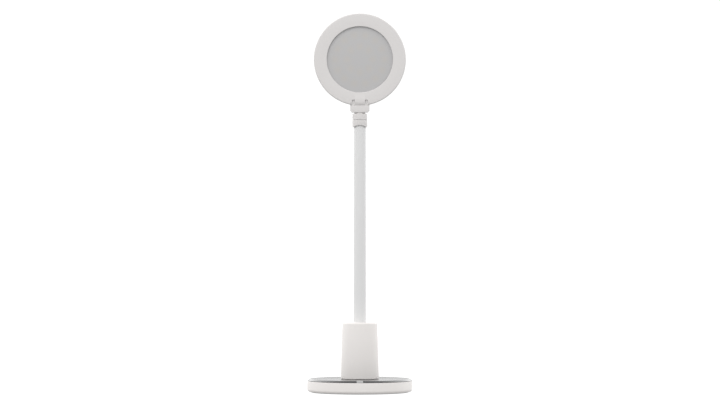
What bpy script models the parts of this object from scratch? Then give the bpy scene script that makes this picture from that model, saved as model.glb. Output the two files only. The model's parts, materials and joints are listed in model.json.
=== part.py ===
"""A round LED fill light on a flexible stem, as an assembly of separate parts.

Units are metres and +Z is up. The light faces -Y. The origin is the centre of the foot ring's underside.
"""

import math

import bmesh
import bpy
from mathutils import Matrix, Vector

MM = 0.001
GAP = 0.3 * MM  # left between two parts that touch

# Base
BASE_RADIUS = 57.95 * MM
BASE_WALL = 2.45 * MM
BASE_CORNER = 3.0 * MM  # rounding of the wall's lower edge
RIM_HEIGHT = 12.6 * MM
PLATE_TOP = 14.9 * MM
PLATE_RADIUS = 57.45 * MM
BEVEL_WIDTH = 2.65 * MM
PLATE_EDGE = 0.25 * MM  # height of the plate's edge under its bevel
DECK_BOTTOM = 9.7 * MM
DECK_TOP = 11.4 * MM
DECK_HOLE = 7.0 * MM
SPIGOT_RADIUS = 54.6 * MM  # the step under the top plate that centres it
COVER_BOTTOM = 0.8 * MM
COVER_TOP = 2.8 * MM
FOOT_INNER = 48.5 * MM
FOOT_OUTER = 53.5 * MM
FOOT_HEIGHT = 1.5 * MM
KEY_WIDTH = 7.0 * MM
KEY_DEPTH = 4.6 * MM
BASE_SCREW_CIRCLE = 43.0 * MM
BASE_BOSS_RADIUS = 3.2 * MM
BALLAST_RADIUS = 50.0 * MM
BALLAST_HEIGHT = 3.0 * MM
BOARD_BAY = (18.0 * MM, 22.0 * MM)  # half width of the ballast's rear cut-out, and where it starts
SOCKET_HALF_WIDTH = 4.47 * MM
SOCKET_HEIGHT = 3.2 * MM
SOCKET_LENGTH = 8.0 * MM
SOCKET_Z = 7.5 * MM

# Tower
TOWER_BOTTOM = PLATE_TOP + GAP
TOWER_TOP = 77.0 * MM
TOWER_RADIUS_LOW = 21.05 * MM
TOWER_RADIUS_HIGH = 19.2 * MM
TOWER_CORNER = 1.8 * MM
TOWER_WALL = 2.2 * MM
TOWER_SCREW_CIRCLE = 15.8 * MM
TOWER_BOSS_RADIUS = 3.4 * MM
TOWER_BOSS_HEIGHT = 18.0 * MM

# Stem
STEM_TOP = 290.8 * MM
HINGE_COUNT = 8
PITCH = (STEM_TOP - TOWER_TOP) / HINGE_COUNT
HINGE_Z = [TOWER_TOP + PITCH * (k + 0.5) for k in range(HINGE_COUNT)]
BEND_PER_HINGE = 22.5  # degrees each way
SLEEVE_RADIUS_LOW = 6.95 * MM
SLEEVE_RADIUS_HIGH = 6.5 * MM
SLEEVE_INNER = 5.45 * MM
BALL_RADIUS = 4.0 * MM
SOCKET_RADIUS = 4.5 * MM
LINK_RADIUS = 5.05 * MM
LINK_WAIST = 3.8 * MM
LINK_NECK = 2.4 * MM
LINK_STEPS = 10  # sides of a turned link
WIRE_BORE = 1.4 * MM
SOCKET_MOUTH = 1.5 * MM  # how far a socket reaches past its ball's centre

# Collar and swivel
COLLAR_RADIUS = 8.15 * MM
COLLAR_SEAM = 299.4 * MM
COLLAR_TOP = 306.2 * MM
COLLAR_POCKET = 6.8 * MM  # radius inside the lower collar, over the sleeve's end
COLLAR_ARCH = 2.7 * MM  # height of the arches in the lower collar's front and back
SLEEVE_TOP = 294.2 * MM
SPINDLE_RADIUS = 4.0 * MM
CLIP_GROOVE_RADIUS = 3.1 * MM
CLIP_LOW = 295.9 * MM
CLIP_HIGH = 296.9 * MM

# Tilt joint
PIN_Z = 320.0 * MM
PIN_RADIUS = 1.5 * MM
PIN_HALF_LENGTH = 9.6 * MM
FORK_BOTTOM = 307.7 * MM
FORK_HALF_WIDTH = 10.6 * MM
FORK_CHAMFER = 2.0 * MM
FORK_HALF_DEPTH = 6.6 * MM
FORK_LIP = 315.4 * MM  # top of the fork's foot in front, and its level behind is under the barrel
FORK_BACK = 312.3 * MM
NECK_RADIUS = 6.05 * MM
LUG_INNER = 6.7 * MM
LUG_OUTER = 8.2 * MM
LUG_RADIUS = 5.8 * MM
WASHER_RADIUS = 4.2 * MM
WASHER_THICKNESS = 0.4 * MM
SLOT_INNER = 5.7 * MM
SLOT_OUTER = 8.5 * MM
SLOT_FORWARD = 45  # degrees that the slots let the head nod forwards
BARREL_RADIUS = 7.0 * MM
BARREL_MIDDLE = 7.35 * MM  # radius of the part between the slots
POCKET_HALF_WIDTH = 10.3 * MM
POCKET_WALL = 1.65 * MM
POCKET_TOP = 327.5 * MM
PAD_TOP = 325.3 * MM  # top of the raised pad in front of the joint

# Head, with heights measured from its mid plane towards the front
HEAD_Z = 365.9 * MM
HEAD_RADIUS = 50.6 * MM
HEAD_FRONT = 7.0 * MM
HEAD_WALL = 1.8 * MM
BEZEL_CORNER = 1.2 * MM
BEZEL_BACK = -1.0 * MM
WINDOW_RADIUS = 36.3 * MM
WINDOW_CHAMFER = 0.5 * MM
DIFFUSER_FRONT = 4.6 * MM
DIFFUSER_RADIUS = 37.9 * MM
DIFFUSER_THICKNESS = 1.6 * MM
LED_BOARD_RADIUS = 37.4 * MM
LED_BOARD_FRONT = -1.7 * MM
LED_BOARD_THICKNESS = 1.4 * MM
HEAD_SCREW_CIRCLE = 44.6 * MM

ORIGIN = Vector((0, 0, 0))
UP, FRONT, SIDE = (0, 0, 0), (math.radians(90), 0, 0), (0, math.radians(90), 0)

parts = None
cutters = None
pivots = {}


# ---------------------------------------------------------------- helpers


def arc(centre, radius, start, end, count):
    """Points (radius, height) along an arc, with angles in degrees from outwards towards up."""
    angles = [math.radians(start + (end - start) * i / count) for i in range(count + 1)]
    return [(centre[0] + radius * math.cos(a), centre[1] + radius * math.sin(a)) for a in angles]


def around(circle, count, first=0.0):
    """Points spread evenly on a circle about Z, with the first angle in degrees."""
    angles = [math.radians(first + 360 * i / count) for i in range(count)]
    return [Vector((circle * math.cos(a), circle * math.sin(a), 0)) for a in angles]


def material(name, colour, roughness, metallic=0.0):
    found = bpy.data.materials.get(name)
    if found:
        return found
    made = bpy.data.materials.new(name)
    made.use_nodes = True
    shader = made.node_tree.nodes["Principled BSDF"]
    shader.inputs["Base Color"].default_value = (*colour, 1)
    shader.inputs["Roughness"].default_value = roughness
    shader.inputs["Metallic"].default_value = metallic
    return made


FINISHES = {
    "white_shell": ((0.78, 0.77, 0.75), 0.42, 0.0),
    "white_sleeve": ((0.8, 0.8, 0.79), 0.6, 0.0),
    "dark_plate": ((0.02, 0.02, 0.022), 0.12, 0.0),
    "key_lens": ((0.55, 0.55, 0.54), 0.35, 0.0),
    "opal": ((0.72, 0.71, 0.69), 0.3, 0.0),
    "white_inner": ((0.85, 0.85, 0.85), 0.5, 0.0),
    "steel": ((0.55, 0.55, 0.56), 0.32, 1.0),
    "brass": ((0.71, 0.55, 0.27), 0.3, 1.0),
    "fibre": ((0.06, 0.06, 0.065), 0.7, 0.0),
    "nylon": ((0.78, 0.77, 0.74), 0.5, 0.0),
    "circuit_board": ((0.03, 0.16, 0.07), 0.45, 0.0),
    "led_aluminium": ((0.8, 0.8, 0.78), 0.4, 0.4),
    "battery_foil": ((0.62, 0.63, 0.65), 0.38, 0.8),
    "copper": ((0.72, 0.4, 0.26), 0.35, 1.0),
    "foot_rubber": ((0.6, 0.6, 0.6), 0.85, 0.0),
}


def pivot(name, place, parent=None):
    """An empty on a joint's axis, which the pieces of one moving body hang from."""
    empty = bpy.data.objects.new(name, None)
    empty.empty_display_size = 10 * MM
    pivots[name] = Vector(place)
    empty.parent = bpy.data.objects.get(parent) if parent else None
    empty.location = pivots[name] - (pivots[parent] if parent else ORIGIN)
    parts.objects.link(empty)


def add(name, data, body, place=ORIGIN, turn=UP, finish=None):
    """An object at a world place. One with no finish is a cutter or a piece that a Boolean joins."""
    obj = bpy.data.objects.new(name, data)
    obj.parent = bpy.data.objects[body]
    obj.location = Vector(place) - pivots[body]
    obj.rotation_euler = turn
    if finish:
        parts.objects.link(obj)
        data.materials.append(material(finish, *FINISHES[finish]))
    else:
        cutters.objects.link(obj)
        obj.hide_render = True
        obj.display_type = "WIRE"
    return obj


def turned(name, profile, body, finish=None, steps=32, to_axis=False, place=ORIGIN, turn=UP):
    """A turned piece from a profile of (radius, height), which runs down its outer side."""
    mesh = bpy.data.meshes.new(name)
    count = len(profile)
    edges = [(i, (i + 1) % count) for i in range(count - 1 if to_axis else count)]
    mesh.from_pydata([(r, 0, h) for r, h in profile], edges, [])
    obj = add(name, mesh, body, place, turn, finish)
    screw = obj.modifiers.new("turn", "SCREW")
    screw.steps = screw.render_steps = steps
    screw.use_merge_vertices = to_axis
    screw.merge_threshold = 1e-6
    screw.use_smooth_shade = True
    return obj


def cylinder(name, radius, low, high, body, finish=None, steps=24, place=ORIGIN, turn=UP):
    """A solid cylinder between two heights along its own axis."""
    mesh = bpy.data.meshes.new(name)
    shape = bmesh.new()
    middle = Matrix.Translation((0, 0, (low + high) / 2))
    bmesh.ops.create_cone(
        shape, cap_ends=True, segments=steps, radius1=radius, radius2=radius, depth=high - low, matrix=middle
    )
    shape.to_mesh(mesh)
    shape.free()
    mesh.shade_smooth()
    mesh.set_sharp_from_angle(angle=math.radians(40))
    return add(name, mesh, body, place, turn, finish)


def block(name, low, high, body, finish=None, bevel=0.0, segments=2):
    """A box between two world corners, with rounded edges where bevel is set."""
    low, high = Vector(low), Vector(high)
    mesh = bpy.data.meshes.new(name)
    shape = bmesh.new()
    bmesh.ops.create_cube(shape, size=1.0, matrix=Matrix.Diagonal((*(high - low), 1)))
    shape.to_mesh(mesh)
    shape.free()
    obj = add(name, mesh, body, (low + high) / 2, UP, finish)
    if bevel:
        rounding = obj.modifiers.new("rounding", "BEVEL")
        rounding.width = bevel
        rounding.segments = segments
    return obj


def prism(name, outline, half_depth, body, place=ORIGIN, turn=UP):
    """A flat outline given thickness, made a mesh so that Booleans can use it."""
    curve = bpy.data.curves.new(name + "_outline", "CURVE")
    curve.dimensions = "2D"
    curve.fill_mode = "BOTH"
    curve.extrude = half_depth
    spline = curve.splines.new("POLY")
    spline.points.add(len(outline) - 1)
    for point, (x, y) in zip(spline.points, outline):
        point.co = (x, y, 0, 1)
    spline.use_cyclic_u = True
    guide = bpy.data.objects.new(name + "_outline", curve)
    cutters.objects.link(guide)
    bpy.context.view_layer.update()
    graph = bpy.context.evaluated_depsgraph_get()
    mesh = bpy.data.meshes.new_from_object(guide.evaluated_get(graph))
    bpy.data.objects.remove(guide)
    shape = bmesh.new()
    shape.from_mesh(mesh)
    bmesh.ops.remove_doubles(shape, verts=shape.verts, dist=1e-6)
    bmesh.ops.recalc_face_normals(shape, faces=shape.faces)
    shape.to_mesh(mesh)
    shape.free()
    return add(name, mesh, body, place, turn)


def boolean(obj, other, operation):
    modifier = obj.modifiers.new(other.name, "BOOLEAN")
    modifier.operation = operation
    modifier.solver = "EXACT"
    modifier.object = other


def cut(obj, *others):
    for other in others:
        boolean(obj, other, "DIFFERENCE")


def join(obj, *others):
    for other in others:
        boolean(obj, other, "UNION")


def screw(name, body, place, head_radius, head_height, shank_radius, length, turn=UP):
    """A pan-head screw whose head's flat is at the place and whose shank runs along its own +Z."""
    profile = [
        (0, length),
        (shank_radius * 0.5, length),
        (shank_radius, length - shank_radius * 0.5),
        (shank_radius, 0),
        (head_radius, 0),
        (head_radius, -head_height * 0.6),
        (head_radius * 0.7, -head_height),
        (0, -head_height),
    ]
    turned(name, profile, body, "steel", steps=8, to_axis=True, place=place, turn=turn)


# ---------------------------------------------------------------- base


def foot_ring():
    chamfer = 0.4 * MM
    profile = [
        (FOOT_OUTER, FOOT_HEIGHT),
        (FOOT_OUTER, chamfer),
        (FOOT_OUTER - chamfer, 0),
        (FOOT_INNER + chamfer, 0),
        (FOOT_INNER, chamfer),
        (FOOT_INNER, FOOT_HEIGHT),
    ]
    turned("foot_ring", profile, "base", "foot_rubber", steps=36)


def base_bottom_cover():
    radius = BASE_RADIUS - BASE_WALL - GAP
    groove_top = FOOT_HEIGHT + GAP
    profile = [
        (0, COVER_TOP),
        (radius, COVER_TOP),
        (radius, COVER_BOTTOM + 0.4 * MM),
        (radius - 0.4 * MM, COVER_BOTTOM),
        (FOOT_OUTER + GAP, COVER_BOTTOM),
        (FOOT_OUTER + GAP, groove_top),
        (FOOT_INNER - GAP, groove_top),
        (FOOT_INNER - GAP, COVER_BOTTOM),
        (0, COVER_BOTTOM),
    ]
    cover = turned("base_bottom_cover", profile, "base", "white_shell", steps=36, to_axis=True)
    for i, place in enumerate(around(BASE_SCREW_CIRCLE, 4, 45)):
        cut(cover, cylinder(f"cover_hole_{i}", 1.6 * MM, 0, 4 * MM, "base", steps=8, place=place))
        cut(cover, cylinder(f"cover_sink_{i}", 3.2 * MM, 0, 2.0 * MM, "base", steps=10, place=place))


def base_screws():
    for i, place in enumerate(around(BASE_SCREW_CIRCLE, 4, 45)):
        seat = place + Vector((0, 0, 2.0 * MM - GAP))
        screw(f"base_screw_{i + 1}", "base", seat, 2.7 * MM, 0.8 * MM, 1.2 * MM, 7.0 * MM)


def base_shell():
    inner = BASE_RADIUS - BASE_WALL
    corner = (BASE_RADIUS - BASE_CORNER, COVER_BOTTOM + BASE_CORNER)
    sweep = math.degrees(math.acos((inner - corner[0]) / BASE_CORNER))
    recess = SPIGOT_RADIUS + GAP
    profile = [
        (recess, RIM_HEIGHT),
        (BASE_RADIUS - 0.35 * MM, RIM_HEIGHT),
        (BASE_RADIUS, RIM_HEIGHT - 0.35 * MM),
        *arc(corner, BASE_CORNER, 0, -sweep, 3),
        (inner, DECK_BOTTOM),
        (DECK_HOLE, DECK_BOTTOM),
        (DECK_HOLE, DECK_TOP),
        (recess, DECK_TOP),
    ]
    shell = turned("base_shell", profile, "base", "white_shell", steps=48)
    for i, place in enumerate(around(BASE_SCREW_CIRCLE, 4, 45)):
        low = COVER_TOP + GAP
        boss = cylinder(f"base_boss_{i}", BASE_BOSS_RADIUS, low, DECK_TOP - 0.6 * MM, "base", steps=10, place=place)
        join(shell, boss)
        cut(shell, cylinder(f"base_pilot_{i}", 1.5 * MM, 0, DECK_BOTTOM, "base", steps=8, place=place))
    for i, place in enumerate(around(TOWER_SCREW_CIRCLE, 3, 90)):
        cut(shell, cylinder(f"deck_hole_{i}", 1.8 * MM, 8 * MM, 13 * MM, "base", steps=8, place=place))
    half_width = SOCKET_HALF_WIDTH + GAP
    half_height = SOCKET_HEIGHT / 2 + GAP
    low = (-half_width, inner - 2 * MM, SOCKET_Z - half_height)
    high = (half_width, BASE_RADIUS + 2 * MM, SOCKET_Z + half_height)
    cut(shell, block("socket_cut", low, high, "base"))


def ballast_plate():
    low = COVER_TOP + GAP
    plate = cylinder("ballast_plate", BALLAST_RADIUS, low, low + BALLAST_HEIGHT, "base", "steel", steps=32)
    half_width, start = BOARD_BAY
    cut(plate, block("ballast_bay", (-half_width, start, 0), (half_width, BASE_RADIUS, 9 * MM), "base"))
    for i, place in enumerate(around(BASE_SCREW_CIRCLE, 4, 45)):
        hole = cylinder(
            f"ballast_hole_{i}", BASE_BOSS_RADIUS + 2 * GAP, 0, 9 * MM, "base", steps=10, place=place
        )
        cut(plate, hole)


def plate_profile(inner):
    """The top plate's section outwards of a radius, with its bevel and the step that centres it."""
    edge = RIM_HEIGHT + GAP
    return [
        (inner, PLATE_TOP),
        (PLATE_RADIUS - BEVEL_WIDTH - 0.3 * MM, PLATE_TOP),
        (PLATE_RADIUS - BEVEL_WIDTH + 0.15 * MM, PLATE_TOP - 0.12 * MM),
        (PLATE_RADIUS, edge + PLATE_EDGE),
        (PLATE_RADIUS, edge),
        (SPIGOT_RADIUS, edge),
        (SPIGOT_RADIUS, DECK_TOP + GAP),
        (inner, DECK_TOP + GAP),
    ]


def top_plate():
    plate = turned("top_plate", plate_profile(DECK_HOLE), "base", "dark_plate", steps=48)
    for i, place in enumerate(around(TOWER_SCREW_CIRCLE, 3, 90)):
        cut(plate, cylinder(f"plate_hole_{i}", 1.8 * MM, 10 * MM, 18 * MM, "base", steps=8, place=place))
    half = KEY_WIDTH / 2 + GAP
    back = -(PLATE_RADIUS - KEY_DEPTH - GAP)
    cut(plate, block("key_slot", (-half, -BASE_RADIUS - MM, DECK_TOP), (half, back, 18 * MM), "base"))


def touch_key():
    """The light insert in the bevel, cut from the same section as the plate."""
    inner = PLATE_RADIUS - 2 * KEY_DEPTH
    key = turned("touch_key", plate_profile(inner), "base", "key_lens", steps=48)
    half = KEY_WIDTH / 2
    back = -(PLATE_RADIUS - KEY_DEPTH)
    window = block("key_bounds", (-half, -BASE_RADIUS - MM, 0), (half, back, 18 * MM), "base")
    boolean(key, window, "INTERSECT")


def touch_electrode():
    low = (-6 * MM, -51.5 * MM, DECK_BOTTOM - 0.8 * MM)
    high = (6 * MM, -45.5 * MM, DECK_BOTTOM - GAP)
    block("touch_electrode", low, high, "base", "copper")


def control_board():
    """The board in the rear bay, with its raised components in one piece with it."""
    low = Vector((-14 * MM, 25 * MM, 3.6 * MM))
    high = Vector((14 * MM, 52 * MM, 4.8 * MM))
    board = block("control_board", low, high, "base", "circuit_board")
    components = (
        ((-11, 28, 6.6), (-4, 35, 7.4)),
        ((1, 28, 6.6), (6, 33, 7.0)),
        ((8, 30, 6.6), (12, 38, 9.0)),
        ((-12, 38, 6.6), (-8, 44, 8.2)),
    )
    for i, (near, far) in enumerate(components):
        corner = Vector((near[0] * MM, near[1] * MM, high.z - 0.5 * MM))
        join(board, block(f"component_{i}", corner, Vector(far) * MM, "base"))


def usb_socket():
    """The charging inlet in the rear wall: a rounded metal shell with its tongue inside."""
    front = BASE_RADIUS - GAP
    half_height = SOCKET_HEIGHT / 2
    low = (-SOCKET_HALF_WIDTH, front - SOCKET_LENGTH, SOCKET_Z - half_height)
    high = (SOCKET_HALF_WIDTH, front, SOCKET_Z + half_height)
    socket = block("usb_socket", low, high, "base", "steel")
    rounding = socket.modifiers.new("rounding", "BEVEL")
    rounding.width = 1.4 * MM
    rounding.segments = 3
    rounding.limit_method = "ANGLE"
    wall = 0.35 * MM
    mouth_low = (low[0] + wall, front - SOCKET_LENGTH + MM, low[2] + wall)
    mouth_high = (high[0] - wall, front + 2 * MM, high[2] - wall)
    cut(socket, block("socket_mouth", mouth_low, mouth_high, "base", bevel=1.0 * MM))
    tongue_low = (-3.3 * MM, front - SOCKET_LENGTH + 0.5 * MM, SOCKET_Z - 0.35 * MM)
    tongue_high = (3.3 * MM, front - 1.2 * MM, SOCKET_Z + 0.35 * MM)
    join(socket, block("socket_tongue", tongue_low, tongue_high, "base"))


def battery_pouch():
    low = (-25 * MM, -41 * MM, 6.4 * MM)
    high = (25 * MM, -20 * MM, 9.3 * MM)
    block("battery_pouch", low, high, "base", "battery_foil", bevel=0.8 * MM)


# ---------------------------------------------------------------- tower


def tower_shell():
    slope = (TOWER_RADIUS_LOW - TOWER_RADIUS_HIGH) / (TOWER_TOP - TOWER_BOTTOM)
    hole = LINK_WAIST + GAP
    corner = (TOWER_RADIUS_HIGH - TOWER_CORNER, TOWER_TOP - TOWER_CORNER)
    under = TOWER_TOP - TOWER_WALL
    profile = [
        (hole, TOWER_TOP),
        *arc(corner, TOWER_CORNER, 90, 0, 3),
        (TOWER_RADIUS_LOW, TOWER_BOTTOM),
        (TOWER_RADIUS_LOW - TOWER_WALL, TOWER_BOTTOM),
        (TOWER_RADIUS_HIGH - TOWER_WALL + slope * TOWER_WALL, under),
        (hole, under),
    ]
    shell = turned("tower_shell", profile, "base", "white_shell", steps=36)
    top = TOWER_BOTTOM + TOWER_BOSS_HEIGHT
    for i, place in enumerate(around(TOWER_SCREW_CIRCLE, 3, 90)):
        boss = cylinder(f"tower_boss_{i}", TOWER_BOSS_RADIUS, TOWER_BOTTOM, top, "base", steps=10, place=place)
        join(shell, boss)
        pilot = cylinder(f"tower_pilot_{i}", 1.5 * MM, 0, top - 2 * MM, "base", steps=8, place=place)
        cut(shell, pilot)


def tower_screws():
    for i, place in enumerate(around(TOWER_SCREW_CIRCLE, 3, 90)):
        seat = place + Vector((0, 0, DECK_BOTTOM - GAP))
        screw(f"tower_screw_{i + 1}", "base", seat, 2.8 * MM, 1.4 * MM, 1.2 * MM, 18 * MM)


def root_hardware():
    """The washer and nut that clamp the stem's root stud under the tower's top wall."""
    under = TOWER_TOP - TOWER_WALL - GAP
    hole = LINK_WAIST + GAP
    washer = [(9 * MM, under), (9 * MM, under - MM), (hole, under - MM), (hole, under)]
    turned("root_washer", washer, "base", "steel", steps=16)
    top = under - MM - GAP
    nut = cylinder("root_nut", 7.5 * MM, top - 4 * MM, top, "base", "brass", steps=6)
    cut(nut, cylinder("nut_bore", hole, top - 6 * MM, top + MM, "base", steps=20))


# ---------------------------------------------------------------- stem


def sleeve_radius(z):
    share = (z - TOWER_TOP) / (STEM_TOP - TOWER_TOP)
    return SLEEVE_RADIUS_LOW + (SLEEVE_RADIUS_HIGH - SLEEVE_RADIUS_LOW) * share


def ball_top(centre):
    """Down a ball from its wire bore to the neck under it."""
    start = math.degrees(math.acos(WIRE_BORE / BALL_RADIUS))
    end = -math.degrees(math.acos(LINK_NECK / BALL_RADIUS))
    shoulder = centre - 6.2 * MM
    return [
        *arc((0, centre), BALL_RADIUS, start, end, 5),
        (LINK_NECK, shoulder + 1.4 * MM),
        (LINK_WAIST, shoulder),
    ]


def socket_bottom(centre):
    """From a link's waist out to its socket, round the mouth and up inside to the wire bore."""
    mouth = -math.degrees(math.asin(SOCKET_MOUTH / SOCKET_RADIUS))
    crown = math.degrees(math.acos(WIRE_BORE / SOCKET_RADIUS))
    return [
        (LINK_WAIST, centre + 6.6 * MM),
        (LINK_RADIUS, centre + 5.2 * MM),
        (LINK_RADIUS, centre - SOCKET_MOUTH),
        *arc((0, centre), SOCKET_RADIUS, mouth, crown, 4),
    ]


def neck_core():
    """The bendable core: a root stud, ball-and-socket links and a tip stud, bored for the wires."""
    root = [
        *ball_top(HINGE_Z[0]),
        (LINK_WAIST, TOWER_TOP + 2.5 * MM),
        (LINK_RADIUS, TOWER_TOP + 2.2 * MM),
        (LINK_RADIUS, TOWER_TOP + GAP),
        (LINK_WAIST, TOWER_TOP + GAP),
        (LINK_WAIST, TOWER_TOP - 11 * MM),
        (WIRE_BORE, TOWER_TOP - 11 * MM),
    ]
    turned("neck_root_stud", root, "base", "steel", steps=LINK_STEPS)
    for k in range(1, HINGE_COUNT):
        link = [*ball_top(HINGE_Z[k]), *socket_bottom(HINGE_Z[k - 1])]
        turned(f"neck_link_{k}", link, f"link_{k}", "steel", steps=LINK_STEPS)
    top = STEM_TOP + 2.5 * MM
    tip = [
        (LINK_RADIUS, top),
        (LINK_RADIUS, STEM_TOP + 0.5 * MM),
        (LINK_WAIST, STEM_TOP + 0.5 * MM),
        *socket_bottom(HINGE_Z[-1]),
        (WIRE_BORE, top),
    ]
    turned("neck_tip_stud", tip, "tip", "steel", steps=LINK_STEPS)


def neck_sleeves():
    """The sleeve as one piece per body, with coned ends that leave room to bend."""
    slope = math.tan(math.radians(BEND_PER_HINGE / 2 + 1))
    for k in range(HINGE_COUNT + 1):
        bottom = TOWER_TOP + GAP if k == 0 else HINGE_Z[k - 1]
        top = SLEEVE_TOP if k == HINGE_COUNT else HINGE_Z[k]

        def end(z, radius, sign):
            open_end = HINGE_Z[0] - MM < z < HINGE_Z[-1] + MM
            return (radius, z + sign * (0.2 * MM + slope * radius) if open_end else z)

        profile = [
            end(top, sleeve_radius(top), -1),
            end(bottom, sleeve_radius(bottom), 1),
            end(bottom, SLEEVE_INNER, 1),
            end(top, SLEEVE_INNER, -1),
        ]
        body = ("base", *(f"link_{i}" for i in range(1, HINGE_COUNT)), "tip")[k]
        turned(f"neck_sleeve_{k}", profile, body, "white_sleeve", steps=20)


# ---------------------------------------------------------------- collar and swivel


def collar():
    bore = SPINDLE_RADIUS + GAP
    roof = COLLAR_SEAM - 1.4 * MM
    edge = 0.5 * MM
    lower = [
        (bore, COLLAR_SEAM),
        (COLLAR_RADIUS - 0.15 * MM, COLLAR_SEAM),
        (COLLAR_RADIUS, COLLAR_SEAM - 0.15 * MM),
        (COLLAR_RADIUS, STEM_TOP + edge),
        (COLLAR_RADIUS - edge, STEM_TOP),
        (COLLAR_POCKET, STEM_TOP),
        (COLLAR_POCKET, roof),
        (bore, roof),
    ]
    ring = turned("collar_lower", lower, "tip", "white_shell", steps=28)
    arch = (COLLAR_RADIUS**2 + COLLAR_ARCH**2) / (2 * COLLAR_ARCH)
    centre = Vector((0, 0, STEM_TOP + COLLAR_ARCH - arch))
    reach = 2 * COLLAR_RADIUS
    cut(ring, cylinder("collar_arch", arch, -reach, reach, "tip", steps=48, place=centre, turn=FRONT))
    upper = [
        (bore, COLLAR_TOP),
        (COLLAR_RADIUS - edge, COLLAR_TOP),
        (COLLAR_RADIUS, COLLAR_TOP - edge),
        (COLLAR_RADIUS, COLLAR_SEAM + GAP + 0.15 * MM),
        (COLLAR_RADIUS - 0.15 * MM, COLLAR_SEAM + GAP),
        (bore, COLLAR_SEAM + GAP),
    ]
    turned("collar_upper", upper, "swivel", "white_shell", steps=28)


def swivel_hardware():
    roof = COLLAR_SEAM - 1.4 * MM
    bore = SPINDLE_RADIUS + GAP
    low = CLIP_HIGH + GAP
    high = roof - GAP
    washer = [(6.1 * MM, high), (6.1 * MM, low), (bore, low), (bore, high)]
    turned("swivel_washer", washer, "tip", "fibre", steps=16)
    inner = CLIP_GROOVE_RADIUS + GAP
    clip = [(5.6 * MM, CLIP_HIGH), (5.6 * MM, CLIP_LOW), (inner, CLIP_LOW), (inner, CLIP_HIGH)]
    ring = turned("swivel_clip", clip, "swivel", "steel", steps=16)
    low, high = (-1.6 * MM, -8 * MM, CLIP_LOW - MM), (1.6 * MM, 0, CLIP_HIGH + MM)
    cut(ring, block("clip_mouth", low, high, "swivel"))


# ---------------------------------------------------------------- tilt joint


def across(name, outline, low, high, body):
    """An outline of (y, z) given width from x = low to x = high."""
    turn = (math.radians(90), 0, math.radians(90))
    return prism(name, outline, (high - low) / 2, body, Vector(((low + high) / 2, 0, 0)), turn)


def fork_foot():
    """The foot's outline seen from the side: a lip in front, and lower behind to let the head lie back."""
    return [
        (-FORK_HALF_DEPTH, FORK_BOTTOM - MM),
        (FORK_HALF_DEPTH, FORK_BOTTOM - MM),
        (FORK_HALF_DEPTH, FORK_BACK),
        (-MM, FORK_BACK),
        (-MM, FORK_LIP),
        (-FORK_HALF_DEPTH, FORK_LIP),
    ]


def tilt_fork():
    """The swivelling arm: a foot with a saddle under the head's barrel, two lugs and the spindle."""
    low, wide = FORK_BOTTOM, FORK_HALF_WIDTH
    outline = [
        (FORK_CHAMFER - wide, low),
        (wide - FORK_CHAMFER, low),
        (wide, low + FORK_CHAMFER),
        (wide, PIN_Z),
        (-wide, PIN_Z),
        (-wide, low + FORK_CHAMFER),
    ]
    fork = prism("tilt_fork", outline, 2 * FORK_HALF_DEPTH, "swivel", turn=FRONT)
    cutters.objects.unlink(fork)
    parts.objects.link(fork)
    fork.hide_render = False
    fork.display_type = "TEXTURED"
    fork.data.materials.append(material("white_shell", *FINISHES["white_shell"]))
    boolean(fork, across("fork_foot", fork_foot(), -2 * wide, 2 * wide, "swivel"), "INTERSECT")
    pin = Vector((0, 0, PIN_Z))
    saddle = BARREL_MIDDLE + GAP
    cut(fork, cylinder("fork_saddle", saddle, -2 * wide, 2 * wide, "swivel", steps=40, place=pin, turn=SIDE))
    lug = [(LUG_RADIUS, FORK_BOTTOM + MM), *arc((0, PIN_Z), LUG_RADIUS, 0, 180, 10), (-LUG_RADIUS, FORK_BOTTOM + MM)]
    join(
        fork,
        across("lug_right", lug, LUG_INNER, LUG_OUTER, "swivel"),
        across("lug_left", lug, -LUG_OUTER, -LUG_INNER, "swivel"),
    )
    end = CLIP_LOW - 1.1 * MM
    spindle = [
        (0, FORK_BOTTOM + MM),
        (NECK_RADIUS, FORK_BOTTOM + MM),
        (NECK_RADIUS, COLLAR_TOP + GAP),
        (SPINDLE_RADIUS, COLLAR_TOP + GAP),
        (SPINDLE_RADIUS, CLIP_HIGH + GAP),
        (CLIP_GROOVE_RADIUS, CLIP_HIGH + GAP),
        (CLIP_GROOVE_RADIUS, CLIP_LOW - GAP),
        (SPINDLE_RADIUS - 0.3 * MM, CLIP_LOW - GAP),
        (SPINDLE_RADIUS - 0.3 * MM, end),
        (0, end),
    ]
    join(fork, turned("fork_spindle", spindle, "swivel", steps=20, to_axis=True))
    cut(
        fork,
        cylinder("fork_wire_bore", 1.6 * MM, end - MM, PIN_Z, "swivel", steps=8),
        cylinder("fork_pin_hole", PIN_RADIUS + GAP, -wide, wide, "swivel", steps=12, place=pin, turn=SIDE),
    )
    fork.data.shade_smooth()
    fork.data.set_sharp_from_angle(angle=math.radians(35))


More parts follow.
